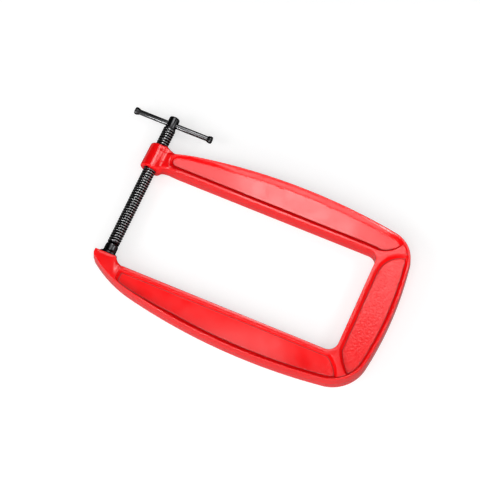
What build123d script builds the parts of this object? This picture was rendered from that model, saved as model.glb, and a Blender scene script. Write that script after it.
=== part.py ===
"""G-clamp with a cast C-frame, a screw with a sliding cross bar, and a swivel pad.

The clamp lies flat. X runs from the screw to the spine, Y along the screw from the
anvil to the cross bar, and Z is the frame's thickness. The origin is the middle of
the anvil's face, on the screw's axis. All lengths are in millimetres.
"""
from build123d import *
from math import sqrt
import os

# Throat of the frame
throat_length = 180.0
arm_gap = 84.8
anvil_rise = 4.8
window_corner = 7.5

# Section of the frame
frame_thickness = 16.5
web_thickness = 8.2
upper_arm_depth = 26.5
lower_arm_depth = 27.6
spine_depth = 28.5
arm_bow = 455.0
spine_bow = 280.0
crown_share = 0.633
keel_share = 0.666
upper_corner = 23.0
lower_corner = 29.0
heel_reach = 28.0
side_draft_angle = 3.0
edge_round = 1.6
inner_edge_bevel = 0.8

# Rims, pockets and corner ribs
outer_rim = 2.9
inner_rim = 3.4
spine_rim = 4.8
rim_step = 0.8
rim_start = 14.6
pocket_start = 15.2
pocket_draft_angle = 6.0
upper_nose_share = 0.44
lower_nose_share = 0.25
rib_corner = 1.6
upper_end_inset = 4.2
upper_end = 19.0
lower_end_inset = 14.5
lower_end_drop = 24.7
lower_end = 24.2
lower_turn = 4.0
spine_top_inset = 12.4
spine_top_end = 18.5
spine_bottom_inset = 18.3
spine_bottom_shift = 41.3
spine_bottom_end = 40.0
spine_turn = 5.0

# Boss and its neck
boss_diameter = 16.4
boss_tip_diameter = 15.6
boss_length = 19.8
boss_stand = 3.0
boss_bevel = 0.7
neck_thickness = 11.6
neck_length = 10.4
neck_ramp = 3.3
web_radius = 16.0
web_reach = 15.0

# Anvil
anvil_front = 9.5
anvil_back = 8.3
anvil_throat = 8.4
anvil_side = 4.7
anvil_nose = 1.6
anvil_facing = 1.0
anvil_lip = 0.7
valley_radius = 5.0
valley_depth = 1.5
valley_centre = 12.0
valley_drop = 6.0
valley_turn_angle = 25.0

# Screw
screw_diameter = 9.5
thread_length = 103.2
head_diameter = 8.2
head_length = 9.7
head_bevel = 1.0
bar_hole_height = 3.9
thread_chamfer = 0.6
bore_clearance = 0.05

# Ball tip and swivel pad
ball_diameter = 6.6
tip_neck_diameter = 4.6
tip_neck_gap = 0.6
pad_diameter = 14.4
pad_rim_height = 1.7
pad_rim_bevel = 0.3
cup_diameter = 9.8
cup_base_height = 3.8
cup_crimp = 0.7
pad_height = 9.8
mouth_diameter = 5.9
ball_height = 5.3
ball_clearance = 0.1
pad_rest_gap = 0.3

# Cross bar and its end caps
bar_diameter = 4.0
bar_length = 64.0
bar_shift = 1.2
bar_clearance = 0.05
cap_diameter = 5.7
cap_neck_diameter = 4.9
cap_length = 3.7
cap_wall = 0.8
cap_bevel = 0.8
cap_taper_share = 0.45

# Levels and places worked out from the sizes above
half = frame_thickness / 2
rim_level = half - rim_step
floor_level = web_thickness / 2
spine_inner = screw_diameter / 2 + throat_length
spine_outer = spine_inner + spine_depth
lower_inner = -anvil_rise
upper_inner = arm_gap - anvil_rise
top = upper_inner + upper_arm_depth
bottom = lower_inner - lower_arm_depth
middle = (upper_inner + lower_inner) / 2
boss_mouth = upper_inner - boss_stand
pad_top = pad_rest_gap + pad_height
thread_start = pad_top + tip_neck_gap
thread_end = thread_start + thread_length
bar_height = thread_end + bar_hole_height


def disc(radius, x, y):
    """A round face of one radius about the point x, y."""
    return Pos(x, y) * Circle(radius)


def block(x0, x1, y0, y1):
    """A rectangular face between two corners."""
    return Pos((x0 + x1) / 2, (y0 + y1) / 2) * Rectangle(x1 - x0, y1 - y0)


def keel(inset):
    """The underside of the lower arm: its long bow runs smoothly into the heel.

    The heel is the arc that meets the bow tangentially at heel_reach and ends at the
    foot of the anvil's side.
    """
    x, y = keel_share * spine_inner, bottom + arm_bow
    lean = (x - heel_reach) / arm_bow
    rise = sqrt(1 - lean**2)
    run = heel_reach + anvil_front
    drop = y - arm_bow * rise + anvil_side
    heel_bow = -(run**2 + drop**2) / (2 * (lean * run + rise * drop))
    heel_x = x - (arm_bow - heel_bow) * lean
    heel_y = y - (arm_bow - heel_bow) * rise
    join = heel_reach + inset * lean
    arm = disc(arm_bow - inset, x, y) & block(join, 2 * spine_outer, bottom, middle)
    heel = disc(heel_bow - inset, heel_x, heel_y) & block(-anvil_front, join, bottom, middle)
    return arm + heel


def envelope(inset):
    """The closed outer shape of the frame, drawn inwards by an inset."""
    crown = disc(arm_bow - inset, crown_share * spine_inner, top - arm_bow)
    crown &= block(0, 2 * spine_outer, middle, top)
    shape = (crown + keel(inset)) & disc(spine_bow - inset, spine_outer - spine_bow, middle)
    corners = shape.vertices().sort_by(Axis.X)[-2:].sort_by(Axis.Y)
    shape = fillet(corners[1], upper_corner - inset)
    corners = shape.vertices().filter_by(lambda v: v.Y < lower_inner).sort_by(Axis.X)
    return fillet(corners[-1], lower_corner - inset)


def window(inset, spine_inset):
    """The frame's open throat, widened by the rim insets of the arms and the spine."""
    x, y0, y1 = spine_inner + spine_inset, lower_inner - inset, upper_inner + inset
    space = block(-spine_outer, x, y0, y1)
    return fillet(space.vertices().sort_by(Axis.X)[-2:], window_corner)


def outline():
    """The frame's flat outline, with the anvil and the web beside the boss."""
    foot = anvil_throat**2 - (anvil_throat - anvil_rise) ** 2
    foot_end = anvil_back + sqrt(foot)
    anvil = block(-anvil_front, foot_end, lower_inner, anvil_facing)
    anvil -= disc(anvil_throat, foot_end, lower_inner + anvil_throat)
    web = block(0, web_reach, boss_mouth, upper_inner)
    web -= disc(web_radius, web_reach, upper_inner - web_radius)
    shape = envelope(0) - (window(0, 0) - anvil - web)
    left = shape.vertices().sort_by(Axis.X)[:2].sort_by(Axis.Y)
    return fillet(left[0], anvil_nose)


def pockets():
    """The three pocket outlines: upper arm, lower arm and spine."""
    band = envelope(outer_rim) - window(inner_rim, spine_rim)
    x = spine_inner - upper_end_inset
    reach = block(pocket_start, x, middle, top)
    upper = band & (reach + disc(upper_end, x, upper_inner + inner_rim + upper_end))
    end = upper.edges().sort_by(Axis.X)[0]
    upper = fillet(upper.vertices().sort_by(Axis.X)[:2], upper_nose_share * end.length)
    upper = fillet(upper.vertices().sort_by(Axis.X)[-1], rib_corner)

    x = spine_inner - lower_end_inset
    reach = block(pocket_start, x, bottom, middle)
    lower = band & (reach + disc(lower_end, x, lower_inner - lower_end_drop))
    end = lower.edges().sort_by(Axis.X)[0]
    lower = fillet(lower.vertices().sort_by(Axis.X)[:2], lower_nose_share * end.length)
    lower = fillet(lower.vertices().sort_by(Axis.X)[-1], rib_corner)
    lower = fillet(lower.vertices().sort_by(Axis.Y)[-1], lower_turn)

    x, y = spine_inner + spine_rim, upper_inner - spine_top_inset
    low = lower_inner + spine_bottom_inset
    reach = block(spine_inner, spine_outer, low, y)
    reach += disc(spine_top_end, x + spine_top_end, y)
    reach += disc(spine_bottom_end, spine_inner + spine_bottom_shift, low)
    spine = band & reach & block(x, spine_outer, bottom, top)
    corners = spine.vertices().filter_by(lambda v: v.Y < low).sort_by(Axis.X)
    spine = fillet(corners[0], spine_turn)
    spine = fillet(spine.vertices().sort_by(Axis.Y)[0], rib_corner)
    spine = fillet(spine.vertices().sort_by(Axis.Y)[-1], rib_corner)
    return upper, lower, spine


def faces_throat(edge):
    """Whether an edge of the plate looks into the frame's open throat."""
    centre = edge @ 0.5
    between = lower_inner - rim_step < centre.Y < upper_inner + rim_step
    return between and -anvil_front / 2 < centre.X < spine_inner + rim_step


def on_outside(edge):
    """Whether an edge runs along the frame's outer side, away from the boss."""
    centre = edge @ 0.5
    beside_boss = centre.Y > middle and centre.X < boss_diameter
    return not faces_throat(edge) and not beside_boss


def on_inside(edge):
    """Whether an edge runs along an arm or the spine inside the throat."""
    return faces_throat(edge) and (edge @ 0.5).X > boss_diameter


def half_frame():
    """One half of the casting, from its parting plane up to the rims."""
    plate = extrude(outline(), half, taper=side_draft_angle)
    lip = plate.faces().sort_by(Axis.Z)[-1].edges()
    plate = fillet(lip.filter_by(on_outside), edge_round)
    inside = envelope(outer_rim) & block(rim_start, spine_outer, bottom, top)
    plate -= extrude(Pos(0, 0, rim_level) * inside, half)
    lip = plate.faces().filter_by(Plane.XY).sort_by(Axis.Z)[1].edges()
    plate = chamfer(lip.filter_by(on_inside), inner_edge_bevel)
    depth = rim_level - floor_level
    for pocket in pockets():
        mouth = Pos(0, 0, rim_level) * pocket
        plate -= extrude(mouth, depth, dir=(0, 0, -1), taper=pocket_draft_angle)
    return plate


def along_y(shape, height):
    """A shape made about Z, stood along Y with its middle at a height."""
    return Pos(0, height, 0) * Rot(-90, 0, 0) * shape


def neck_relief():
    """The thinner neck between the boss and the upper arm, cut on one side."""
    level = neck_thickness / 2
    profile = disc(neck_ramp, neck_length, level + neck_ramp)
    profile += block(-boss_diameter, neck_length, level, level + 2 * neck_ramp)
    cut = extrude(Rot(90, 0, 0) * profile, upper_arm_depth)
    return Pos(0, boss_mouth + upper_arm_depth, 0) * cut


def heel_valley():
    """The shallow valley between the anvil and the lower arm, cut on one side."""
    valley = along_y(Cylinder(valley_radius, lower_arm_depth * 2), 0)
    place = Pos(valley_centre, lower_inner - valley_drop, half + valley_radius)
    return place * Pos(0, 0, -valley_depth) * Rot(0, 0, valley_turn_angle) * valley


def frame():
    """The whole cast frame: two mirrored halves, faced anvil, boss and its bore."""
    side = half_frame() - neck_relief() - heel_valley()
    casting = side + mirror(side, Plane.XY)
    facing = Box(4 * anvil_front, anvil_facing, 2 * frame_thickness)
    casting -= Pos(0, anvil_facing / 2, 0) * facing
    lip = casting.faces().filter_by(lambda f: abs(f.center().Y) < anvil_lip / 4)
    casting = chamfer(lip.edges(), anvil_lip)
    boss = Cone(boss_diameter / 2, boss_tip_diameter / 2, boss_length)
    boss = chamfer(boss.edges().filter_by(GeomType.CIRCLE), boss_bevel)
    casting += along_y(boss, boss_mouth + boss_length / 2)
    bore = Cylinder(screw_diameter / 2 + bore_clearance, 2 * boss_length)
    return casting - along_y(bore, boss_mouth + boss_length / 2)


def screw():
    """The screw with its drilled head above and its ball tip below."""
    shank = Cylinder(screw_diameter / 2, thread_length)
    shank = chamfer(shank.edges().filter_by(GeomType.CIRCLE), thread_chamfer)
    head = Cylinder(head_diameter / 2, head_length)
    head = chamfer(head.edges().sort_by(Axis.Z)[-1], head_bevel)
    ball_y = pad_rest_gap + ball_height
    neck = Cylinder(tip_neck_diameter / 2, thread_start - ball_y)
    body = along_y(shank, thread_start + thread_length / 2)
    body += along_y(head, thread_end + head_length / 2)
    body += along_y(neck, (thread_start + ball_y) / 2)
    body += Pos(0, ball_y, 0) * Sphere(ball_diameter / 2)
    hole = Cylinder(bar_diameter / 2 + bar_clearance, 2 * head_diameter)
    return body - Pos(0, bar_height, 0) * Rot(0, 90, 0) * hole


def swivel_pad():
    """The pad: a flat foot, a dished skirt and a bored cup closed round the ball."""
    foot, cup = pad_diameter / 2, cup_diameter / 2
    skirt = Polyline((0, pad_height), (0, 0), (foot, 0), (foot, pad_rim_height))
    skirt += Polyline((foot, pad_rim_height), (cup, cup_base_height), (cup, pad_height))
    skirt += Line((cup, pad_height), (0, pad_height))
    pad = revolve(make_face(skirt), Axis.Y)
    rims = pad.edges().filter_by(GeomType.CIRCLE).sort_by(Axis.Y)
    pad = chamfer(rims[-1], cup_crimp)
    pad = chamfer(pad.edges().filter_by(GeomType.CIRCLE).sort_by(Axis.Y)[0], pad_rim_bevel)
    seat = ball_diameter / 2 + ball_clearance
    pad -= along_y(Cylinder(seat, 2 * seat), ball_height)
    pad -= along_y(Cylinder(mouth_diameter / 2, pad_height), ball_height + pad_height / 2)
    return Pos(0, pad_rest_gap, 0) * pad


def cross_bar():
    """The plain sliding bar, short of its full length by the end walls of its caps."""
    rod = Cylinder(bar_diameter / 2, bar_length - 2 * cap_wall)
    return Pos(bar_shift, bar_height, 0) * Rot(0, 90, 0) * rod


def cap(side):
    """An end cap swaged on the bar, on its right for side 1 and its left for -1."""
    taper_length = cap_length * cap_taper_share
    taper = Cone(cap_neck_diameter / 2, cap_diameter / 2, taper_length)
    knob = Cylinder(cap_diameter / 2, cap_length - taper_length)
    knob = chamfer(knob.edges().sort_by(Axis.Z)[-1], cap_bevel)
    body = Pos(0, 0, taper_length / 2) * taper
    body += Pos(0, 0, (cap_length + taper_length) / 2) * knob
    socket = Cylinder(bar_diameter / 2, 2 * (cap_length - cap_wall))
    end = bar_shift + side * (bar_length / 2 - cap_length)
    return Pos(end, bar_height, 0) * Rot(0, side * 90, 0) * (body - socket)


nodes = {
    "frame": frame(),
    "screw": screw(),
    "swivel_pad": swivel_pad(),
    "cross_bar": cross_bar(),
    "cap_left": cap(-1),
    "cap_right": cap(1),
}
os.makedirs("parts", exist_ok=True)
for name, shape in nodes.items():
    export_step(shape, f"parts/{name}.step")
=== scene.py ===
"""Dresses a g-clamp: a red enamelled casting, a blackened screw, its bar and its pad.

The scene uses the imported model's frame. X runs from the screw to the spine, Y along
the screw from the anvil to the cross bar, and Z is the thickness of the casting. The
classes hold their sizes in millimetres, and each mesh is scaled to metres once.
"""
from __future__ import annotations

import logging
import math
import sys
from dataclasses import dataclass
from enum import Enum
from typing import Sequence

import bmesh
import bpy
import numpy as np
import openvdb
from mathutils import Matrix, Vector

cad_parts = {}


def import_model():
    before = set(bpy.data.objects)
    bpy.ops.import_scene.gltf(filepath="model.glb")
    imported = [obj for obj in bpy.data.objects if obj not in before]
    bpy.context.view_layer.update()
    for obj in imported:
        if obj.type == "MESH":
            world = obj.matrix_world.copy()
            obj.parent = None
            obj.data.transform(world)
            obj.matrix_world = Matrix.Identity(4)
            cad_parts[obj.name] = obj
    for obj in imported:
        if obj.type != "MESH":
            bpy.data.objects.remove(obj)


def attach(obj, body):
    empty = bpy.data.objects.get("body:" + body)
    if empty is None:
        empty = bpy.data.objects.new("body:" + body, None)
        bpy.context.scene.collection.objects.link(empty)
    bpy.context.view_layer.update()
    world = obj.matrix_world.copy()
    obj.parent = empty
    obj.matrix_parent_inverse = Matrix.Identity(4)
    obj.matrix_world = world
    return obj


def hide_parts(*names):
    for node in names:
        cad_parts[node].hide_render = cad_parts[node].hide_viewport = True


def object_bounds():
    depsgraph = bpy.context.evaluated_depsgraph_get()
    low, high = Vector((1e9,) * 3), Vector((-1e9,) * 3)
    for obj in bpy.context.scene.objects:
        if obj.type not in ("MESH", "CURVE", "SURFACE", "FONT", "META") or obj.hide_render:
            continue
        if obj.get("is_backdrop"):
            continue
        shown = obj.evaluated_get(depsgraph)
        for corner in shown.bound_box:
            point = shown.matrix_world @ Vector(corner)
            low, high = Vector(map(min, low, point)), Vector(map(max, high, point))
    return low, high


LOG = logging.getLogger("g_clamp")
MM = 0.001
# A length in millimetres that is longer than the casting
FAR = 300.0
Colour = tuple[float, float, float, float]
Field = np.ndarray
Piece = bpy.types.Object
Socket = bpy.types.NodeSocket


class Body(Enum):
    """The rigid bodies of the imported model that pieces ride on."""

    FRAME = "frame"
    PAD = "pad"
    SCREW = "screw"
    BAR = "bar"


class Slot(Enum):
    """The record's two material slots."""

    ENAMEL = "red_enamel"
    STEEL = "black_steel"


# Shaping functions for distance fields


def disc(x: Field, y: Field, cx: float, cy: float, radius: float) -> Field:
    """Signed distance to a disc, negative inside."""
    return np.hypot(x - cx, y - cy) - radius


def block(x: Field, y: Field, x0: float, x1: float, y0: float, y1: float) -> Field:
    """Signed distance to a rectangle between four sides, negative inside."""
    dx = np.abs(x - (x0 + x1) / 2) - (x1 - x0) / 2
    dy = np.abs(y - (y0 + y1) / 2) - (y1 - y0) / 2
    return np.hypot(np.maximum(dx, 0), np.maximum(dy, 0)) + np.minimum(np.maximum(dx, dy), 0)


def both(a: Field, b: Field, radius: float) -> Field:
    """What two shapes share, with the edge between them rounded to a radius."""
    edge = np.hypot(np.maximum(a + radius, 0), np.maximum(b + radius, 0))
    return np.minimum(np.maximum(a, b), -radius) + edge


def blend(a: Field, b: Field, width: float) -> Field:
    """Two shapes joined, with the hollow between them filled softly over a width."""
    share = np.maximum(width - np.abs(a - b), 0) / width
    return np.minimum(a, b) - share**2 * width / 4


def carve(a: Field, tool: Field, width: float) -> Field:
    """A shape with a tool cut out of it, and a soft edge of some width round the cut."""
    return -blend(-a, tool, width)


def leaned(shape: Field, depth: Field, slope: float | Field) -> Field:
    """A flat shape whose sides close in with depth, at an angle from upright."""
    lean = np.radians(slope)
    return shape * np.cos(lean) + depth * np.sin(lean)


@dataclass(frozen=True)
class Bow:
    """A long arc of the casting's outline, as its whole circle."""

    x: float
    y: float
    radius: float

    def distance(self, x: Field, y: Field) -> Field:
        """Signed distance of points to the circle."""
        return disc(x, y, self.x, self.y, self.radius)

    def corner(self, x: Field, y: Field, other: Bow, radius: float) -> Field:
        """The shape inside this arc and another, with the corner between them rounded.

        Args:
            x, y: The points.
            other: The arc that meets this one on the right.
            radius: The corner's radius.

        Returns:
            The distance to the rounded shape.
        """
        near, far = self.radius - radius, other.radius - radius
        across = Vector((other.x - self.x, other.y - self.y))
        span = across.length
        along = (near**2 - far**2 + span**2) / (2 * span)
        rise = math.sqrt(near**2 - along**2)
        across.normalize()
        foot = Vector((self.x, self.y)) + across * along
        side = Vector((across.y, -across.x)) * rise
        centre = max(foot + side, foot - side, key=lambda point: point.x)
        a = Vector((centre.x - self.x, centre.y - self.y))
        b = Vector((centre.x - other.x, centre.y - other.y))
        px, py = x - centre.x, y - centre.y
        turn = a.x * b.y - a.y * b.x
        after = (a.x * py - a.y * px) * turn >= 0
        before = (px * b.y - py * b.x) * turn >= 0
        ahead = px * (a.x + b.x) + py * (a.y + b.y) > 0
        sharp = np.maximum(self.distance(x, y), other.distance(x, y))
        return np.where(after & before & ahead, np.hypot(px, py) - radius, sharp)


@dataclass(frozen=True)
class Dent:
    """A small nick that the casting carries under its paint."""

    x: float
    y: float
    z: float
    radius: float


@dataclass(frozen=True)
class Pocket:
    """The pocket of one arm.

    Attributes:
        lip, slope: The rim's width along the throat, and the wall's angle there.
        start, start_slope: Where the pocket starts along X, and the wall's angle there.
        nose: The radius of the corners at the start.
        end: How far the end lies before the spine's inner face.
        bow, bow_radius: How far above the throat's side the end's arc is centred, and its radius.
    """

    lip: float
    slope: float
    start: float
    start_slope: float
    nose: float
    end: float
    bow: float
    bow_radius: float


@dataclass(frozen=True)
class Casting:
    """The cast frame: bowed arms and spine with pockets, ribs, a boss and an anvil."""

    half: float = 8.25
    rim_level: float = 7.45
    rim_start: float = 14.6
    rim_round: float = 0.4
    floor_level: float = 4.1
    floor_round: float = 0.5
    side_draft: float = 3.0
    edge_width: float = 0.4
    edge_round: float = 0.45
    outer_lip: float = 1.3
    outer_slope: float = 38.0
    back_lip: float = 2.3
    back_slope: float = 24.0
    back_run: float = 18.0
    ease_from: float = 62.0
    ease_run: float = 42.0
    upper_lip_ease: float = 0.9
    upper_slope_ease: float = 9.0
    lower_slope_ease: float = 24.0
    upper_pocket: Pocket = Pocket(2.5, 41.0, 12.6, 14.0, 4.2, 4.2, 22.4, 20.4)
    lower_pocket: Pocket = Pocket(4.05, 5.0, 14.2, 30.0, 1.8, 14.5, -24.7, 25.0)
    pocket_corner: float = 1.2
    end_slope: float = 30.0
    spine_lip: float = 2.9
    spine_slope: float = 31.0
    spine_low: float = 13.5
    spine_low_bow: tuple[float, float] = (41.3, 41.0)
    spine_high: float = 12.4
    spine_high_bow: tuple[float, float] = (19.9, 19.4)
    dome: float = 0.018
    dome_width: float = 3.6
    dome_run: float = 10.0
    spine_inner: float = 184.75
    lower_inner: float = -4.8
    upper_inner: float = 80.0
    middle: float = 37.6
    window_corner: float = 7.5
    crown: Bow = Bow(116.95, -348.5, 455.0)
    keel: Bow = Bow(123.04, 422.6, 455.0)
    back: Bow = Bow(-66.75, 37.6, 280.0)
    upper_corner: float = 23.0
    lower_corner: float = 29.0
    crown_from: float = 87.5
    crown_fade: float = 2.0
    crown_round: float = 0.2
    heel_reach: float = 28.0
    heel_width: float = 1.8
    anvil_front: float = 9.5
    anvil_side: float = 4.7
    anvil_end: float = 20.0
    anvil_block: tuple[float, float] = (-30.0, 1.0)
    anvil_round: float = 0.7
    throat_end: float = 15.89
    throat_radius: float = 8.4
    valley_at: float = 12.7
    valley_rise: float = 12.05
    valley_radius: float = 5.0
    valley_fade: float = 0.25
    valley_width: float = 1.4
    neck_level: float = 6.2
    neck_start: float = 7.2
    neck_climb: float = 0.19
    neck_width: float = 2.4
    web_back: float = -1.0
    web_reach: float = 15.0
    web_radius: float = 16.0
    web_overlap: float = 5.0
    web_top: float = 99.0
    web_fall: float = 0.377
    web_box: tuple[float, float, float, float] = (5.2, 13.5, 85.0, 100.0)
    web_round: float = 0.8
    boss_radius: float = 8.2
    boss_taper: float = 0.0202
    boss_mouth: float = 77.0
    boss_tip: float = 96.8
    boss_round: float = 1.0
    boss_fillet: float = 2.8
    bore: float = 4.8
    bore_width: float = 0.6
    dent_width: float = 0.5
    dents: tuple[Dent, ...] = (
        Dent(54.0, 79.7, 7.6, 0.9),
        Dent(139.0, -31.4, 6.6, 0.8),
        Dent(96.0, 79.5, 4.8, 0.6),
    )
    low: tuple[float, float, float] = (-11.2, -34.1, -9.8)
    high: tuple[float, float, float] = (214.9, 108.2, 9.8)
    voxel: float = 0.52
    adapt: float = 0.0004
    passes: int = 3
    pull: float = 0.3
    soft_step: float = 0.5
    soft_limit: float = 2.0
    # How much of the painted shade is taken off the upper pocket's outer wall
    crown_shade_cut: float = 0.85

    def heel(self, x: Field, y: Field) -> tuple[Field, Field]:
        """The arc from the lower arm's bow up to the anvil's side, and where it takes over."""
        lean = (self.keel.x - self.heel_reach) / self.keel.radius
        rise = math.sqrt(1 - lean**2)
        run = self.heel_reach + self.anvil_front
        drop = self.keel.y - self.keel.radius * rise + self.anvil_side
        radius = -(run**2 + drop**2) / (2 * (lean * run + rise * drop))
        step = self.keel.radius - radius
        arc = disc(x, y, self.keel.x - step * lean, self.keel.y - step * rise, radius)
        left = rise * (x - self.keel.x) - lean * (y - self.keel.y) < 0
        return arc, left

    def envelope(self, x: Field, y: Field) -> Field:
        """Distance to the closed outer outline, without the throat."""
        upper = self.crown.corner(x, y, self.back, self.upper_corner)
        lower = self.keel.corner(x, y, self.back, self.lower_corner)
        arc, left = self.heel(x, y)
        lower = np.where(left, carve(arc, x + self.anvil_front, self.heel_width), lower)
        start = np.where(y > self.middle, -x, -self.anvil_front - x)
        return np.maximum(np.maximum(upper, lower), start)

    def window(self, x: Field, y: Field, arms: float, spine: float) -> Field:
        """Distance to the throat's opening, widened by rims along the arms and spine."""
        r = self.window_corner
        low, high = self.lower_inner - arms + r, self.upper_inner + arms - r
        return block(x, y, -FAR, self.spine_inner + spine - r, low, high) - r

    def outline(self, x: Field, y: Field, outer: Field) -> Field:
        """Distance to the flat outline, with the anvil and the web beside the boss."""
        end, r = self.throat_end, self.throat_radius
        back, top = self.anvil_block
        anvil = block(x, y, back, end, 2 * self.lower_inner, top)
        anvil = np.maximum(anvil, -disc(x, y, end, self.lower_inner + r, r))
        end, r, top = self.web_reach, self.web_radius, self.upper_inner + self.web_overlap
        web = block(x, y, self.web_back, end, self.boss_mouth, top)
        web = np.maximum(web, -disc(x, y, end, self.upper_inner - r, r))
        solid = np.minimum(-self.window(x, y, 0, 0), np.minimum(anvil, web))
        return np.maximum(outer, solid)

    def pockets(self, x: Field, y: Field, bank: Field, depth: Field) -> list[Field]:
        """Distances to the walls of the three pockets.

        Args:
            x, y: The points.
            bank: Their distance to the sloped side of the outer rim.
            depth: How far each point lies below the inner rims.

        Returns:
            The distances for the upper, lower and spine pockets, negative inside.
        """
        walls = []
        beyond = self.middle - y
        for pocket, level, far in (
            (self.upper_pocket, self.upper_inner, beyond),
            (self.lower_pocket, self.lower_inner, -beyond),
        ):
            inner = -self.window(x, y, pocket.lip, self.spine_lip)
            end = self.spine_inner - pocket.end
            reach = np.minimum(x - end, disc(x, y, end, level + pocket.bow, pocket.bow_radius))
            wall = both(bank, leaned(reach, depth, self.end_slope), self.pocket_corner)
            wall = np.maximum(wall, leaned(inner, depth, pocket.slope))
            start = leaned(pocket.start - x, depth, pocket.start_slope)
            walls.append(np.maximum(both(wall, start, pocket.nose), far))

        left = self.spine_inner + self.spine_lip
        low, high = self.spine_low, self.upper_inner - self.spine_high
        reach = np.maximum(low - y, y - high)
        along, radius = self.spine_high_bow
        reach = np.minimum(reach, disc(x, y, left + along, high, radius))
        along, radius = self.spine_low_bow
        reach = np.minimum(reach, disc(x, y, self.spine_inner + along, low, radius))
        wall = both(bank, leaned(reach, depth, self.end_slope), self.pocket_corner)
        walls.append(np.maximum(wall, leaned(left - x, depth, self.spine_slope)))
        return walls

    def high_wall(self, y: Field) -> Field:
        """How far each point lies towards the upper pocket's outer wall, from 0 to 1."""
        return np.clip((y - self.crown_from) / self.crown_fade, 0, 1)

    def bank(self, x: Field, y: Field, outer: Field, depth: Field) -> Field:
        """Distance to the sloped side that falls from the outer rim towards the pockets."""
        spine = np.clip((x - self.spine_inner) / self.back_run, 0, 1)
        lip = self.outer_lip + (self.back_lip - self.outer_lip) * spine
        slope = self.outer_slope + (self.back_slope - self.outer_slope) * spine
        near = np.clip((self.ease_from - x) / self.ease_run, 0, 1)
        high = y > self.middle
        lip = lip - near * np.where(high, self.upper_lip_ease, 0)
        slope = slope - near * np.where(high, self.upper_slope_ease, self.lower_slope_ease)
        return leaned(outer + lip, depth, slope)

    def sunk(self, x: Field, y: Field, z: Field) -> Field:
        """Distance to the outline's solid, with its rims and pockets sunk into it."""
        outer = self.envelope(x, y)
        side = leaned(self.outline(x, y, outer), z, self.side_draft)
        bank = self.bank(x, y, outer, np.maximum(self.half - z, 0))
        edge = np.maximum(self.dome_width - self.window(x, y, 0, 0), 0)
        dome = self.dome * edge**2 * np.clip((self.upper_inner - y) / self.dome_run, 0, 1)
        step = np.maximum(bank, self.rim_start - x)
        step = both(step, self.rim_level - dome - z, self.rim_round)
        body = carve(both(side, z - self.half, self.edge_round), step, self.edge_width)
        depth = np.maximum(self.rim_level - z, 0)
        foot = self.floor_round + (self.crown_round - self.floor_round) * self.high_wall(y)
        for wall in self.pockets(x, y, bank, depth):
            hollow = both(wall, self.floor_level - z, foot)
            body = carve(body, hollow, self.edge_width)
        return body

    def distance(self, x: Field, y: Field, z: Field) -> Field:
        """Signed distance to the whole casting, in millimetres, negative inside."""
        side_of = z
        z = np.abs(z)
        body = self.sunk(x, y, z)

        climb = self.neck_level + self.neck_climb * np.maximum(x - self.neck_start, 0) - z
        body = carve(body, np.maximum(climb, self.middle - y), self.neck_width)
        top = (y - self.web_top + self.web_fall * x) / math.hypot(1, self.web_fall)
        web = both(top, z - self.neck_level, self.web_round)
        body = blend(body, np.maximum(web, block(x, y, *self.web_box)), self.web_round)

        fade = self.valley_fade * np.maximum(self.lower_inner - y, 0)
        valley = np.hypot(x - self.valley_at, z - self.valley_rise - fade) - self.valley_radius
        body = carve(body, np.maximum(valley, y - self.middle), self.valley_width)
        face = np.where((x < self.anvil_end) & (y < self.middle), y, -FAR)
        body = both(body, face, self.anvil_round)

        axle = np.hypot(x, z)
        reach = (self.boss_tip - self.boss_mouth) / 2
        ends = np.abs(y - self.boss_mouth - reach) - reach
        barrel = axle - self.boss_radius + self.boss_taper * (y - self.boss_mouth)
        body = blend(body, both(barrel, ends, self.boss_round), self.boss_fillet)
        body = carve(body, np.maximum(axle - self.bore, self.middle - y), self.bore_width)
        for dent in self.dents:
            nick = np.hypot(np.hypot(x - dent.x, y - dent.y), side_of - dent.z) - dent.radius
            body = carve(body, nick, self.dent_width)
        return body

    def slope(self, points: np.ndarray, step: float = 0.05) -> tuple[Field, Field, Field]:
        """The field, its direction and its curvature at some points.

        Args:
            points: An array of N points, in millimetres.
            step: The distance between the samples.

        Returns:
            The distances, the unit directions of growth and the curvatures.
        """
        here = self.distance(*points.T)
        pairs = []
        for axis in np.eye(3) * step:
            pairs.append([self.distance(*(points + way).T) for way in (axis, -axis)])
        grow = np.stack([(a - b) / (2 * step) for a, b in pairs], axis=1)
        length = np.maximum(np.linalg.norm(grow, axis=1, keepdims=True), 1e-6)
        bend = sum(a + b - 2 * here for a, b in pairs) / step**2
        return here / length[:, 0], grow / length, bend

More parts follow.
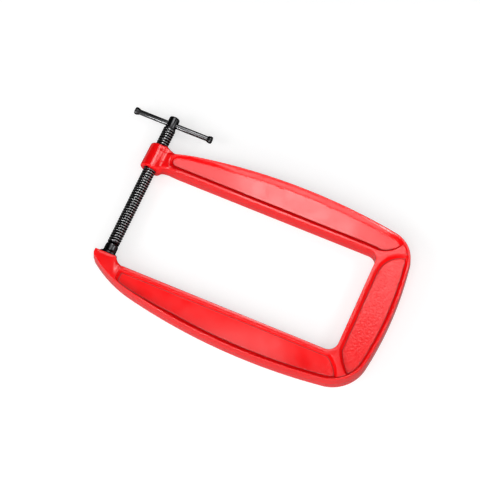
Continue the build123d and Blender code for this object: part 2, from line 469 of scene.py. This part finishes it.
    def build(self) -> Piece:
        """Meshes the casting's distance field and keeps its true surface directions.

        Returns:
            The casting's object, with a float attribute of its curvature for the painted shade and
            highlights.
        """
        low, high = np.array(self.low), np.array(self.high)
        count = np.ceil((high - low) / self.voxel).astype(int) + 1
        x, y, z = (low[i] + self.voxel * np.arange(count[i]) for i in range(3))
        values = self.distance(x[:, None, None], y[None, :, None], z[None, None, :])
        grid = openvdb.FloatGrid()
        grid.copyFromArray(np.ascontiguousarray(values, dtype=np.float32))
        points, triangles, quads = grid.convertToPolygons(0.0, self.adapt)
        points = low + np.asarray(points, dtype=float) * self.voxel
        for _ in range(self.passes):
            gap, direction, _bend = self.slope(points)
            points -= direction * np.clip(gap, -self.pull, self.pull)[:, None]
        _gap, direction, _bend = self.slope(points)
        _gap, _direction, soft = self.slope(points, self.soft_step)
        mesh = bpy.data.meshes.new("casting")
        faces = np.asarray(quads).tolist() + np.asarray(triangles).tolist()
        mesh.from_pydata((points * MM).tolist(), [], faces)
        mesh.update()
        LOG.info("casting: %d quads, %d triangles", len(quads), len(triangles))
        if np.dot(np.array(mesh.polygons[0].normal), direction[quads[0][0]]) < 0:
            mesh.flip_normals()
        mesh.shade_smooth()
        mesh.normals_split_custom_set_from_vertices(direction.tolist())
        edge = mesh.attributes.new("edge", "FLOAT", "POINT")
        # Curvature for the enamel's painted shade and highlights; the painted shade is weakened on
        # the upper pocket's outer wall
        shade_keep = np.where(soft < 0, 1 - self.crown_shade_cut * self.high_wall(points[:, 1]), 1)
        soft = np.clip(soft, -self.soft_limit, self.soft_limit) * shade_keep
        edge.data.foreach_set("value", soft.astype(np.float32))
        return place(mesh, "casting")


def place(mesh: bpy.types.Mesh, name: str) -> Piece:
    """Puts a finished mesh in the scene as an object at the origin."""
    piece = bpy.data.objects.new(name, mesh)
    bpy.context.scene.collection.objects.link(piece)
    return piece


def settle(bm: bmesh.types.BMesh, mesh: bpy.types.Mesh, name: str) -> Piece:
    """Writes an edited mesh out, smooths it and puts it in the scene."""
    bm.to_mesh(mesh)
    bm.free()
    mesh.shade_smooth()
    return place(mesh, name)


@dataclass(frozen=True)
class Lathe:
    """A turned piece: a profile of radii and heights swept round an axis."""

    profile: Sequence[tuple[float, float]]
    name: str
    segments: int = 96
    centre: tuple[float, float, float] = (0.0, 0.0, 0.0)
    along_x: bool = False
    round_most: float = 0.22
    round_share: float = 0.3
    round_bulge: float = 0.45

    def smooth(self) -> list[tuple[float, float]]:
        """Rounds the profile's corners with short arcs of three points."""
        path = [Vector(point) for point in self.profile]
        out = [path[0]]
        for before, here, after in zip(path, path[1:], path[2:]):
            near, far = (before - here), (after - here)
            share, bulge = self.round_share, self.round_bulge
            cut = min(self.round_most, near.length * share, far.length * share)
            a, b = here + near.normalized() * cut, here + far.normalized() * cut
            out += [a, a.lerp(here, bulge).lerp(here.lerp(b, bulge), 0.5), b]
        out.append(path[-1])
        return [(point.x, point.y) for point in out]

    def ring(self, bm: bmesh.types.BMesh, radius: float, height: float) -> list[bmesh.types.BMVert]:
        """Makes one ring of corners, or a pole, which is the same corner all round."""
        if radius < 1e-6:
            return [bm.verts.new((0, height, 0))] * self.segments
        turns = (2 * math.pi * step / self.segments for step in range(self.segments))
        spots = ((radius * math.cos(turn), height, radius * math.sin(turn)) for turn in turns)
        return [bm.verts.new(spot) for spot in spots]

    def build(self) -> Piece:
        """Sweeps the profile round its axis, closes the poles, and scales it to metres."""
        bm = bmesh.new()
        rings = [self.ring(bm, radius, height) for radius, height in self.smooth()]
        for low, high in zip(rings, rings[1:]):
            for step in range(self.segments):
                after = (step + 1) % self.segments
                corners = dict.fromkeys([low[step], low[after], high[after], high[step]])
                if len(corners) > 2:
                    bm.faces.new(list(corners))
        bmesh.ops.recalc_face_normals(bm, faces=bm.faces)
        if self.along_x:
            bmesh.ops.rotate(bm, verts=bm.verts, matrix=Matrix.Rotation(-math.pi / 2, 3, "Z"))
        bmesh.ops.translate(bm, verts=bm.verts, vec=self.centre)
        bmesh.ops.scale(bm, verts=bm.verts, vec=(MM, MM, MM))
        return settle(bm, bpy.data.meshes.new(self.name), self.name)


@dataclass
class Graph:
    """A node tree that is being wired, for a material or for Geometry Nodes."""

    tree: bpy.types.NodeTree

    def add(self, kind: str, **settings: object) -> bpy.types.Node:
        """Adds a node of a kind and gives it its settings."""
        node = self.tree.nodes.new(kind)
        for name, value in settings.items():
            setattr(node, name, value)
        return node

    def wire(self, value: object, socket: Socket) -> None:
        """Links a socket to an input, or sets the input's value."""
        if isinstance(value, Socket):
            self.tree.links.new(value, socket)
        else:
            socket.default_value = value

    def feed(self, node: bpy.types.Node, values: dict[str | int, object]) -> Socket:
        """Wires a node's inputs, by name or place, and gives its first output, if any."""
        for name, value in values.items():
            self.wire(value, node.inputs[name])
        return node.outputs[0] if node.outputs else None

    def split(self, vector: object) -> Sequence[Socket]:
        """Takes a vector apart into its X, Y and Z."""
        node = self.add("ShaderNodeSeparateXYZ")
        self.wire(vector, node.inputs[0])
        return node.outputs

    def sum(self, operation: str, *values: object, clamp: bool = False) -> Socket:
        """Adds one Math node.

        Args:
            operation: The sum to do.
            *values: Its inputs, sockets or numbers.
            clamp: Whether the result is held between 0 and 1.

        Returns:
            The result's socket.
        """
        node = self.add("ShaderNodeMath", operation=operation, use_clamp=clamp)
        return self.feed(node, dict(enumerate(values)))

    def ramp(
        self, value: object, low: float, high: float, start: float = 0.0, end: float = 1.0
    ) -> Socket:
        """Turns a value smoothly into another range.

        Args:
            value: The value to follow.
            low, high: Where the change starts and ends.
            start, end: The results there.

        Returns:
            The result's socket.
        """
        node = self.add("ShaderNodeMapRange", interpolation_type="SMOOTHSTEP")
        return self.feed(node, dict(enumerate((value, low, high, start, end))))

    def mix(self, share: object, first: object, second: object) -> Socket:
        """Mixes two colours, with a share of the second one."""
        node = self.add("ShaderNodeMix", data_type="RGBA")
        self.feed(node, {0: share, 6: first, 7: second})
        return node.outputs[2]

    def noise(self, where: object, size: float, detail: float = 2.0) -> Socket:
        """Adds a noise pattern.

        Args:
            where: The coordinates to read.
            size: The pattern's feature size, in millimetres.
            detail: How many finer layers it has.

        Returns:
            The pattern's value, about 0.5 on average.
        """
        node = self.add("ShaderNodeTexNoise")
        return self.feed(node, {"Vector": where, "Scale": 1 / (size * MM), "Detail": detail})

    def relief(self, height: object, depth: float, below: object = None) -> Socket:
        """Adds a bump.

        Args:
            height: The pattern that raises the surface.
            depth: The relief's depth, in millimetres.
            below: The normal of a coarser relief under it, if any.

        Returns:
            The bumped normal.
        """
        node = self.add("ShaderNodeBump")
        if below is not None:
            self.wire(below, node.inputs["Normal"])
        return self.feed(node, {"Strength": 1.0, "Distance": depth * MM, "Height": height})


class Finish:
    """A material that is made of nodes; each finish adds its own surface."""

    name: str

    def paint(self, graph: Graph, shader: bpy.types.Node) -> None:
        """Wires the finish's colour, roughness and relief into the shader."""
        raise NotImplementedError

    def make(self) -> bpy.types.Material:
        """Builds the material."""
        material = bpy.data.materials.new(self.name)
        material.use_nodes = True
        graph = Graph(material.node_tree)
        self.paint(graph, material.node_tree.nodes["Principled BSDF"])
        return material


@dataclass(frozen=True)
class Enamel(Finish):
    """Glossy red enamel over a sand casting."""

    name: str = "red_enamel"
    colour: Colour = (0.95, 0.003, 0.005, 1.0)
    # Painted shade colour for hollows and creases, also used for random blotches
    shade_and_blotch_colour: Colour = (0.45, 0.001, 0.002, 1.0)
    # Painted highlight colour for convex edges
    painted_highlight_colour: Colour = (0.98, 0.03, 0.035, 1.0)
    roughness: float = 0.14
    peel: float = 0.005
    casting: float = 0.05
    swell: float = 0.006
    parting: float = 0.15
    parting_width: float = 0.7
    rough_from: float = 168.0
    rough_to: float = 192.0

    def paint(self, graph: Graph, shader: bpy.types.Node) -> None:
        """Wires the enamel, with painted shade in the hollows and a painted highlight on the edges.
        """
        coordinates = graph.add("ShaderNodeTexCoord").outputs["Object"]
        edge = graph.add("ShaderNodeAttribute", attribute_name="edge").outputs["Fac"]
        cloud = graph.noise(coordinates, 26.0, 3.0)
        fine = graph.noise(coordinates, 1.1, 2.0)
        coarse = graph.noise(coordinates, 4.2, 3.0)
        pit = graph.noise(coordinates, 1.9, 4.0)

        # Painted shade: concave hollows and creases darken towards the shade colour; the cloud adds
        # random blotches
        hollow = graph.ramp(edge, -0.15, -1.1)
        # Painted highlight: convex edges and crests lighten towards the highlight colour, broken up
        # by noise
        crest = graph.sum("MULTIPLY", graph.ramp(edge, 0.5, 1.6), graph.ramp(coarse, 0.35, 0.7))
        patch = graph.ramp(cloud, 0.6, 0.95, 0.0, 0.25)
        shade = graph.sum("ADD", graph.sum("MULTIPLY", hollow, 0.8), patch, clamp=True)
        colour = graph.mix(shade, self.colour, self.shade_and_blotch_colour)
        colour = graph.mix(graph.sum("MULTIPLY", crest, 0.5), colour, self.painted_highlight_colour)
        rough = graph.ramp(graph.noise(coordinates, 9.0), 0.3, 0.7, -0.04, 0.05)
        rough = graph.sum("ADD", rough, graph.sum("MULTIPLY", hollow, 0.25))

        along, _up, across = graph.split(coordinates)
        rough_cast = graph.ramp(along, self.rough_from * MM, self.rough_to * MM)
        pits = graph.sum("MULTIPLY", graph.ramp(pit, 0.36, 0.62), rough_cast)
        seam = graph.ramp(graph.sum("ABSOLUTE", across), 0.0, self.parting_width * MM, 1.0, 0.0)
        base = graph.relief(coarse, self.swell)
        base = graph.relief(seam, self.parting, base)
        base = graph.relief(pits, self.casting, base)
        graph.feed(shader, {
            "Base Color": colour,
            "Roughness": graph.sum("ADD", rough, self.roughness),
            "Specular IOR Level": 0.42,
            "Coat Weight": 0.2,
            "Coat Roughness": 0.06,
            "Coat Normal": base,
            "Normal": graph.relief(fine, self.peel, base),
        })


class Turning(Enum):
    """How a black steel piece was finished, which sets its colour and its grain."""

    THREAD = "thread"
    TURNED = "turned"
    DRAWN = "drawn"

    @property
    def stretch(self) -> tuple[float, float, float]:
        """How much finer than even the tool marks are along each axis."""
        return {"thread": (1, 1, 1), "turned": (1, 9, 1), "drawn": (0.25, 3, 3)}[self.value]

    @property
    def depth(self) -> float:
        """The tool marks' depth, in millimetres."""
        return 0.003 if self is Turning.DRAWN else 0.006


@dataclass(frozen=True)
class BlackSteel(Finish):
    """Oiled black oxide on steel, with fine tool marks and rubbed edges."""

    turning: Turning = Turning.TURNED
    colour: Colour = (0.065, 0.065, 0.067, 1.0)
    bright: Colour = (0.15, 0.15, 0.154, 1.0)
    bare: Colour = (0.2, 0.2, 0.205, 1.0)
    soot: Colour = (0.02, 0.02, 0.021, 1.0)
    rubbed: Colour = (0.3, 0.3, 0.305, 1.0)
    tint: Colour = (0.12, 0.12, 0.12, 1.0)
    roughness: float = 0.18
    crest_from: float = 4.4
    crest_to: float = 4.72

    @property
    def name(self) -> str:
        """The material's name."""
        return f"black_steel_{self.turning.value}"

    def crest(self, graph: Graph, coordinates: Socket) -> Socket:
        """Finds the thread's crests, which the boss has rubbed bright."""
        apart = graph.split(coordinates)
        squares = [graph.sum("MULTIPLY", apart[i], apart[i]) for i in (0, 2)]
        reach = graph.sum("SQRT", graph.sum("ADD", *squares))
        return graph.ramp(reach, self.crest_from * MM, self.crest_to * MM)

    def paint(self, graph: Graph, shader: bpy.types.Node) -> None:
        """Wires the steel: soot black with a worn, oily sheen and tool marks."""
        coordinates = graph.add("ShaderNodeTexCoord").outputs["Object"]
        mapping = graph.add("ShaderNodeMapping")
        grain = graph.feed(mapping, {"Vector": coordinates, "Scale": self.turning.stretch})
        marks = graph.noise(grain, 1.6, 3.0)
        rub = graph.ramp(graph.noise(coordinates, 5.5, 3.0), 0.55, 0.78)
        base = self.bright if self.turning is Turning.DRAWN else self.colour
        colour = graph.mix(graph.sum("MULTIPLY", rub, 0.4), base, self.bare)
        if self.turning is Turning.THREAD:
            colour = graph.mix(self.crest(graph, coordinates), self.soot, self.rubbed)
        rough = graph.ramp(marks, 0.3, 0.7, -0.05, 0.07)
        graph.feed(shader, {
            "Base Color": colour,
            "Roughness": graph.sum("ADD", rough, self.roughness),
            "Metallic": 1.0,
            "Specular IOR Level": 0.7,
            "Specular Tint": self.tint,
            "Normal": graph.relief(marks, self.turning.depth),
        })


@dataclass(frozen=True)
class Paper(Finish):
    """The plain white floor, which still takes the object's shadow."""

    name: str = "floor_paper"
    colour: Colour = (0.5, 0.5, 0.5, 1.0)
    speck: Colour = (0.47, 0.47, 0.47, 1.0)
    dim: Colour = (0.34, 0.34, 0.34, 1.0)
    glow: Colour = (1.0, 1.0, 1.0, 1.0)
    lift: float = 0.58

    def paint(self, graph: Graph, shader: bpy.types.Node) -> None:
        """Wires a matt white that the camera sees as a white page, and gloss as a dim one."""
        coordinates = graph.add("ShaderNodeTexCoord").outputs["Object"]
        grain = graph.ramp(graph.noise(coordinates, 40.0), 0.2, 0.8, 0.0, 0.03)
        ray = graph.add("ShaderNodeLightPath").outputs
        colour = graph.mix(grain, self.colour, self.speck)
        graph.feed(shader, {
            "Base Color": graph.mix(ray["Is Glossy Ray"], colour, self.dim),
            "Roughness": 0.9,
            "Specular IOR Level": 0.1,
            "Emission Color": self.glow,
            "Emission Strength": graph.sum("MULTIPLY", ray["Is Camera Ray"], self.lift),
        })


@dataclass(frozen=True)
class Spindle:
    """The screw: a threaded shank, a cross-drilled head, and a ball tip in the pad."""

    radius: float = 4.75
    depth: float = 1.02
    pitch: float = 2.12
    start: float = 10.7
    end: float = 113.9
    crest_half: float = 0.12
    root_half: float = 0.7
    run_out: float = 0.8
    chamfer: float = 0.6
    closing: float = 1.6
    head_radius: float = 4.1
    head_top: float = 123.6
    head_round: float = 1.3
    collar: float = 0.25
    hole_height: float = 117.8
    hole_radius: float = 2.05
    hole_funnel: float = 0.5
    tip_radius: float = 2.3
    ball_radius: float = 3.3
    ball_height: float = 5.6
    neck_base: float = 2.7
    segments: int = 64
    rows_per_turn: int = 14

    def thread_tree(self, sizes: dict[str, object]) -> bpy.types.NodeTree:
        """Builds the Geometry Nodes tree that winds the thread.

        Args:
            sizes: The value of each of the tree's inputs, in metres.

        Returns:
            The tree, whose inputs are in the order of the sizes.
        """
        tree = bpy.data.node_groups.new("wound_thread", "GeometryNodeTree")
        kinds = {float: "NodeSocketFloat", int: "NodeSocketInt"}
        for name, value in sizes.items():
            kind = kinds.get(type(value), "NodeSocketMaterial")
            tree.interface.new_socket(name, in_out="INPUT", socket_type=kind)
        tree.interface.new_socket("Geometry", in_out="OUTPUT", socket_type="NodeSocketGeometry")
        graph = Graph(tree)
        given = graph.add("NodeGroupInput").outputs
        radius, pitch, start, end = (given[n] for n in ("Radius", "Pitch", "Start", "End"))

        margin = graph.sum("ADD", pitch, radius)
        low = graph.sum("SUBTRACT", start, margin)
        length = graph.sum("ADD", graph.sum("SUBTRACT", end, start), margin)
        length = graph.sum("ADD", length, radius)
        step = graph.sum("DIVIDE", pitch, given["Rows per turn"])
        rows = graph.sum("CEIL", graph.sum("DIVIDE", length, step))
        wound = graph.feed(graph.add("GeometryNodeMeshGrid"), {
            "Size X": 1.0,
            "Size Y": 1.0,
            "Vertices X": graph.sum("ADD", given["Around"], 1.0),
            "Vertices Y": graph.sum("ADD", rows, 1.0),
        })

        flat = graph.split(graph.add("GeometryNodeInputPosition").outputs[0])
        around = graph.sum("ADD", flat[0], 0.5)
        row = graph.sum("MULTIPLY", graph.sum("ADD", flat[1], 0.5), rows)
        row = graph.sum("ROUND", row)
        height = graph.sum("ADD", low, graph.sum("MULTIPLY", row, step))
        height = graph.sum("ADD", height, graph.sum("MULTIPLY", around, pitch))
        inside = graph.sum("MINIMUM", graph.sum("MAXIMUM", height, start), end)
        beyond = graph.sum("ABSOLUTE", graph.sum("SUBTRACT", height, inside))

        phase = graph.sum("FRACT", graph.sum("DIVIDE", row, given["Rows per turn"]))
        wave = graph.sum("SUBTRACT", graph.sum("MULTIPLY", phase, 2.0), 1.0)
        wave = graph.sum("ABSOLUTE", wave)
        groove = graph.ramp(wave, self.crest_half, self.root_half, 1.0, 0.0)
        near = graph.sum("SUBTRACT", inside, start)
        near = graph.sum("MINIMUM", near, graph.sum("SUBTRACT", end, inside))
        fade = graph.ramp(near, 0.0, graph.sum("MULTIPLY", pitch, self.run_out))
        sunk = graph.sum("MULTIPLY", graph.sum("MULTIPLY", groove, fade), given["Depth"])
        bevel = graph.sum("MAXIMUM", graph.sum("SUBTRACT", self.chamfer * MM, near), 0.0)
        reach = graph.sum("SUBTRACT", radius, graph.sum("MAXIMUM", sunk, bevel))
        reach = graph.sum("SUBTRACT", reach, graph.sum("MULTIPLY", beyond, self.closing))
        reach = graph.sum("MAXIMUM", reach, 0.0)

        angle = graph.sum("MULTIPLY", around, 2 * math.pi)
        where = graph.feed(graph.add("ShaderNodeCombineXYZ"), {
            0: graph.sum("MULTIPLY", graph.sum("SINE", angle), reach),
            1: inside,
            2: graph.sum("MULTIPLY", graph.sum("COSINE", angle), reach),
        })
        for kind, extra in (
            ("GeometryNodeSetPosition", {"Position": where}),
            ("GeometryNodeMergeByDistance", {"Distance": 0.00001}),
            ("GeometryNodeRealizeInstances", {}),
            ("GeometryNodeSetMaterial", {"Material": given["Steel"]}),
            ("NodeGroupOutput", {}),
        ):
            wound = graph.feed(graph.add(kind), {0: wound, **extra})
        return tree

    def shank(self, steel: bpy.types.Material) -> Piece:
        """Winds the threaded shank in its steel and bakes it to a plain mesh."""
        names = ("Radius", "Depth", "Pitch", "Start", "End")
        sizes = {name: getattr(self, name.lower()) * MM for name in names}
        sizes |= {"Around": self.segments, "Rows per turn": self.rows_per_turn, "Steel": steel}
        maker = place(bpy.data.meshes.new("thread_maker"), "thread_maker")
        modifier = maker.modifiers.new("thread", "NODES")
        modifier.node_group = self.thread_tree(sizes)
        for socket in modifier.node_group.interface.items_tree:
            if socket.in_out == "INPUT":
                modifier[socket.identifier] = sizes[socket.name]
        maker.update_tag()
        return self.baked(maker, "shank")

    def baked(self, maker: Piece, name: str) -> Piece:
        """Turns an object with live modifiers into a plain mesh.

        Args:
            maker: The object to bake, which is removed.
            name: The plain piece's name.

        Returns:
            The plain piece, with its faces pointing outwards.
        """
        evaluated = maker.evaluated_get(bpy.context.evaluated_depsgraph_get())
        mesh = bpy.data.meshes.new_from_object(evaluated)
        bpy.data.objects.remove(maker)
        bm = bmesh.new()
        bm.from_mesh(mesh)
        bmesh.ops.dissolve_degenerate(bm, edges=bm.edges, dist=1e-7)
        bmesh.ops.recalc_face_normals(bm, faces=bm.faces)
        return settle(bm, mesh, name)

    def head(self) -> Piece:
        """Turns the head and drills the bar's hole through it."""
        r, top, bend = self.head_radius, self.head_top, self.head_round
        neck, foot = r - self.collar, self.end - 0.5
        profile = [(0, foot), (neck, foot), (neck, self.end), (r, self.end + 0.3), (r, top - bend)]
        for step in range(1, 7):
            angle = math.pi / 12 * step
            profile.append((r - bend + bend * math.cos(angle), top - bend + bend * math.sin(angle)))
        profile.append((0, top))
        blank = Lathe(profile, "head_blank").build()
        r, wide = self.hole_radius, self.hole_radius + self.hole_funnel
        rim = [(0, -8), (wide, -8), (wide, -3.75), (r, -3.3)]
        rim += [(radius, -along) for radius, along in reversed(rim)]
        drill = Lathe(rim, "drill", 48, (0, self.hole_height, 0), True).build()
        cut = blank.modifiers.new("cross_hole", "BOOLEAN")
        cut.operation = "DIFFERENCE"
        cut.solver = "EXACT"
        cut.object = drill
        drilled = self.baked(blank, "head")
        bpy.data.objects.remove(drill)
        return drilled

    def tip(self) -> Piece:
        """Turns the neck and the ball that hold the pad."""
        r, y, top = self.ball_radius, self.ball_height, self.start + 0.4
        profile = [(0.0, y - r)]
        for step in range(1, 14):
            angle = -math.pi / 2 + math.pi * step / 16
            profile.append((r * math.cos(angle), y + r * math.sin(angle)))
        profile += [(self.tip_radius, y + self.neck_base), (self.tip_radius, top), (0, top)]
        return Lathe(profile, "tip", 48).build()


@dataclass(frozen=True)
class SwivelPad:
    """The swivel pad: a flat foot with a dished skirt, crimped round the ball."""

    foot_radius: float = 7.2
    foot: float = 0.3
    rim: float = 1.7
    lower_edge: float = 0.3
    upper_edge: float = 0.25
    cup_radius: float = 4.9
    cup_base: float = 4.1
    top: float = 10.1
    mouth_radius: float = 2.95
    mouth_edge: float = 0.15
    socket_radius: float = 3.4
    ball_height: float = 5.6

    def build(self) -> Piece:
        """Turns the pad in one closed profile."""
        low, high, wide, slim = self.foot, self.foot + self.rim, self.foot_radius, self.cup_radius
        edge, skirt, top = self.lower_edge, wide - self.upper_edge, self.top
        profile = [(0, low), (wide - edge, low), (wide, low + edge)]
        profile += [(wide, high - self.upper_edge), (skirt, high)]
        for step in range(1, 7):
            share = step / 7
            dish = 1 - math.sqrt(1 - share**2)
            height = high + (self.cup_base - high) * dish
            profile.append((skirt - (skirt - slim) * share, height))
        profile += [(slim, self.cup_base + 0.4), (slim, top - 1.9)]
        profile += [(slim - 0.16, top - 0.9), (slim - 0.62, top - 0.2), (slim - 1.05, top)]
        mouth, edge, socket = self.mouth_radius, self.mouth_edge, self.socket_radius
        profile += [(mouth + edge, top), (mouth, top - edge)]
        profile.append((mouth, self.ball_height + math.sqrt(socket**2 - mouth**2)))
        start = math.acos(mouth / socket)
        for step in range(1, 12):
            angle = start - (start + math.pi / 2) * step / 12
            reach = socket * math.cos(angle)
            profile.append((reach, self.ball_height + socket * math.sin(angle)))
        profile.append((0, self.ball_height - socket))
        return Lathe(profile, "pad_turned").build()


@dataclass(frozen=True)
class CrossBar:
    """The sliding bar and the two swaged caps that keep it in the head."""

    radius: float = 2.0
    left: float = -30.8
    right: float = 33.2
    height: float = 117.8
    cap_radius: float = 2.85
    neck_radius: float = 2.45
    cap_length: float = 3.7
    wall: float = 0.8
    gap: float = 0.02
    segments: int = 64

    def turn(self, profile: Sequence[tuple[float, float]], name: str) -> Piece:
        """Turns a piece of the bar round its axis."""
        return Lathe(profile, name, self.segments, (0, self.height, 0), True).build()

    def bar(self) -> Piece:
        """Turns the plain bar between the caps' end walls."""
        low, high = self.left + self.wall, self.right - self.wall
        profile = [(0, low), (self.radius, low), (self.radius, high), (0, high)]
        return self.turn(profile, "bar_drawn")

    def cap(self, left: bool) -> Piece:
        """Turns the left or right cap, with its domed end and its mouth rolled on to the bar."""
        wide, slim, length = self.cap_radius, self.neck_radius, self.cap_length
        bore = self.radius + self.gap
        shape = [(0, 0), (wide - 0.95, 0), (wide - 0.4, 0.18), (wide - 0.08, 0.6), (wide, 1.0)]
        shape += [(wide, length * 0.5), (wide - 0.12, length * 0.62), (slim + 0.02, length - 0.25)]
        shape += [(slim - 0.12, length), (bore, length), (bore, self.wall), (0, self.wall)]
        end, sign = (self.left, 1) if left else (self.right, -1)
        profile = [(radius, end + sign * along) for radius, along in shape]
        return self.turn(profile, "cap_left_swaged" if left else "cap_right_swaged")


@dataclass(frozen=True)
class Lamp:
    """A soft lamp aimed at the object: it shows in its gloss, or it fills its shadows."""

    name: str
    place: tuple[float, float, float]
    target: tuple[float, float, float]
    size: tuple[float, float]
    radiance: float
    fills: bool = False

    def hang(self) -> None:
        """Hangs the lamp, with its power worked out from its brightness and size."""
        data = bpy.data.lights.new(self.name, "AREA")
        data.shape = "RECTANGLE"
        data.size, data.size_y = self.size
        data.energy = self.radiance * math.pi * self.size[0] * self.size[1]
        lamp = bpy.data.objects.new(self.name, data)
        aim = Vector(self.target) - Vector(self.place)
        lamp.location = self.place
        lamp.rotation_euler = aim.to_track_quat("-Z", "Y").to_euler()
        lamp.visible_glossy = not self.fills
        lamp.visible_diffuse = self.fills
        bpy.context.scene.collection.objects.link(lamp)


@dataclass(frozen=True)
class Studio:
    """The plain floor, the soft lamps, the pale surroundings and the camera."""

    floor_level: float = -0.00825
    front: float = 0.95
    sky: float = 0.26
    toward_camera: tuple[float, float, float] = (0.156, -0.3565, 0.921)
    target: tuple[float, float, float] = (0.08535, 0.05146, 0.0)
    distance: float = 1.9388
    lens: float = 195.0
    lamps: tuple[Lamp, ...] = (
        Lamp("window", (-0.03, 0.41, 0.62), (0.05, 0.09, 0.0), (0.27, 0.23), 2.9),
        Lamp("core", (0.015, 0.36, 0.60), (0.09, 0.09, 0.0), (0.12, 0.1), 4.6),
        Lamp("edge", (0.17, 0.34, 0.60), (0.0, 0.09, 0.0), (0.1, 0.2), 2.8),
        Lamp("overhead", (0.01, 0.1, 0.62), (0.05, 0.0, 0.0), (0.18, 0.17), 2.3),
        Lamp("rim", (0.03, -0.5, 0.62), (0.1, -0.01, 0.0), (0.2, 0.1), 8.0),
        Lamp("sill", (-0.03, -1.0, 0.12), (0.1, 0.09, 0.0), (0.4, 0.2), 2.6),
        Lamp("strip", (-0.36, -1.0, 0.44), (0.0, 0.09, 0.0), (0.38, 0.15), 26.0),
        Lamp("front", (0.1, -1.0, 0.55), (0.1, 0.03, 0.0), (1.2, 0.4), 2.05, True),
        Lamp("right", (0.55, 0.28, 0.42), (0.05, 0.05, 0.0), (0.14, 0.3), 3.0),
        Lamp("right_fill", (0.55, 0.28, 0.42), (0.05, 0.05, 0.0), (0.12, 0.12), 18.0, True),
        Lamp("left_fill", (-0.7, -0.5, 0.6), (0.0, 0.03, 0.0), (0.5, 0.5), 6.5, True),
        Lamp("top_fill", (0.2, -0.5, 1.1), (0.1, 0.03, 0.0), (0.9, 0.9), 2.0, True),
    )

    def floor(self) -> Piece:
        """Lays the floor that the clamp rests on."""
        bm = bmesh.new()
        bmesh.ops.create_grid(bm, x_segments=1, y_segments=1, size=6.0)
        bmesh.ops.translate(bm, verts=bm.verts, vec=(0, 0, self.floor_level))
        floor = settle(bm, bpy.data.meshes.new("floor"), "floor")
        floor.data.materials.append(Paper().make())
        return floor

    def surroundings(self) -> None:
        """Makes the world: pale in front, and dimmer above, behind and on the left."""
        world = bpy.data.worlds.new("studio")
        world.use_nodes = True
        bpy.context.scene.world = world
        graph = Graph(world.node_tree)
        x, y, z = graph.split(graph.add("ShaderNodeTexCoord").outputs["Generated"])
        strength = graph.ramp(y, -0.1, 0.3, self.front, self.sky)
        behind = graph.ramp(y, 0.4, 0.7, 1.0, 0.15)
        above = graph.ramp(z, 0.3, 0.6, 1.0, 0.6)
        left = graph.ramp(x, -0.7, -0.1, 0.12, 1.0)
        strength = graph.sum("MULTIPLY", strength, above)
        strength = graph.sum("MULTIPLY", strength, graph.sum("MULTIPLY", behind, left))
        back = world.node_tree.nodes["Background"]
        graph.feed(back, {"Color": (1, 1, 1, 1), "Strength": strength})

    def camera(self) -> None:
        """Sets the camera at the photograph's viewing angle."""
        data = bpy.data.cameras.new("camera")
        data.lens = self.lens
        data.clip_end = 50.0
        away = Vector(self.toward_camera).normalized()
        view = bpy.data.objects.new("camera", data)
        view.location = Vector(self.target) + away * self.distance
        view.rotation_euler = (-away).to_track_quat("-Z", "Y").to_euler()
        bpy.context.scene.collection.objects.link(view)
        bpy.context.scene.camera = view

    def build(self) -> None:
        """Sets up the whole studio."""
        self.floor()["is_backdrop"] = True
        self.surroundings()
        for lamp in self.lamps:
            lamp.hang()
        self.camera()
        bpy.context.scene.view_settings.view_transform = "Standard"


class Clamp:
    """The g-clamp: its pieces, their finishes, and the bodies they ride on."""

    def fit(
        self, piece: Piece, body: Body, slot: Slot, finish: bpy.types.Material, *nodes: str
    ) -> None:
        """Gives a piece its finish, its body and the solids it stands for.

        Args:
            piece: The finished piece.
            body: The body it rides on.
            slot: The record's material slot; not used.
            finish: Its material, unless it already carries one.
            *nodes: The solids it replaces.
        """
        if not piece.data.materials:
            piece.data.materials.append(finish)
        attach(piece, body.value)
        if nodes:
            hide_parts(*nodes)
        LOG.info("%s: %d faces on %s", piece.name, len(piece.data.polygons), body.value)

    def build(self) -> None:
        """Builds every piece of the clamp in order."""
        steel, spindle, bar = Slot.STEEL, Spindle(), CrossBar()
        turned, threaded, drawn = (
            BlackSteel(turning).make()
            for turning in (Turning.TURNED, Turning.THREAD, Turning.DRAWN)
        )
        self.fit(Casting().build(), Body.FRAME, Slot.ENAMEL, Enamel().make(), "frame")
        self.fit(spindle.shank(threaded), Body.SCREW, steel, threaded, "screw")
        self.fit(spindle.head(), Body.SCREW, steel, turned)
        self.fit(spindle.tip(), Body.SCREW, steel, turned)
        self.fit(SwivelPad().build(), Body.PAD, steel, turned, "swivel_pad")
        self.fit(bar.bar(), Body.BAR, steel, drawn, "cross_bar")
        self.fit(bar.cap(True), Body.BAR, steel, turned, "cap_left")
        self.fit(bar.cap(False), Body.BAR, steel, turned, "cap_right")


def corners(bounds: tuple[Vector, Vector]) -> list[list[float]]:
    """Turns a box's two corners into plain lists."""
    return [list(corner) for corner in bounds]


def main() -> None:
    """Builds the clamp and its studio, and works out the two boxes' sizes."""
    logging.basicConfig(level=logging.INFO, stream=sys.stdout)
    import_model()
    solids = corners(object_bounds())
    Clamp().build()
    Studio().build()
    {"cad": solids, "visual": corners(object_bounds())}


if __name__ == "__main__":
    main()
